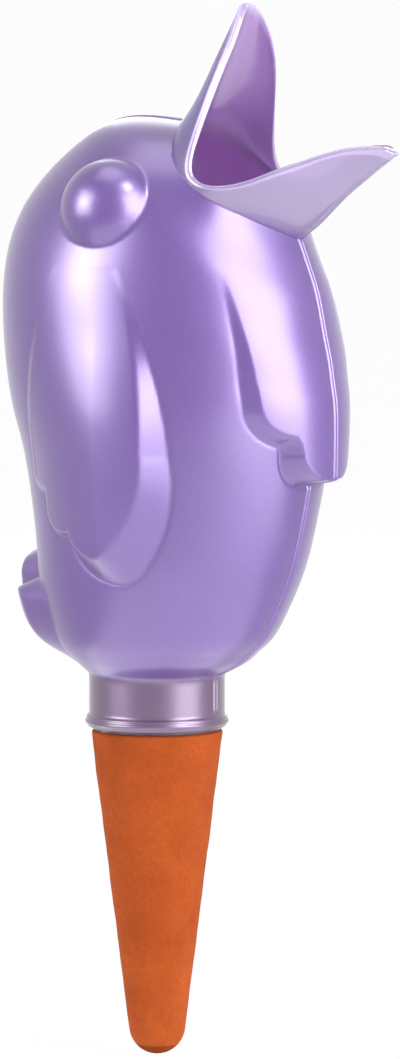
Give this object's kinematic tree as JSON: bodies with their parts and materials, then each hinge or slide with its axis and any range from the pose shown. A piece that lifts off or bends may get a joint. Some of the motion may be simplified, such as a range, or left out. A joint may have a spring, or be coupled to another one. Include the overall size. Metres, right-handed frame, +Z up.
{
  "type": "watering globe",
  "caption": "Bird-shaped plant watering reservoir with an open beak for filling, on a hollow clay spike that lets water seep into the soil.",
  "frame": {"origin": "on the axis of the clay cone at the lower end of the neck, which is the level of the soil", "axes": "+Z up along the axis of the cone, +X the way the beak points, the XZ plane is the plane of symmetry"},
  "size_m": [0.1108, 0.0826, 0.2696],
  "materials": {
    "pearl_plastic": "satin pearl, slightly translucent lavender",
    "terracotta": "matt unglazed terracotta",
    "sealant": "clear silicone"
  },
  "bodies": {
    "root": {"right_shell": "pearl_plastic", "left_shell": "pearl_plastic", "clay_cone": "terracotta", "sealant_ring": "sealant"}
  },
  "joints": []
}
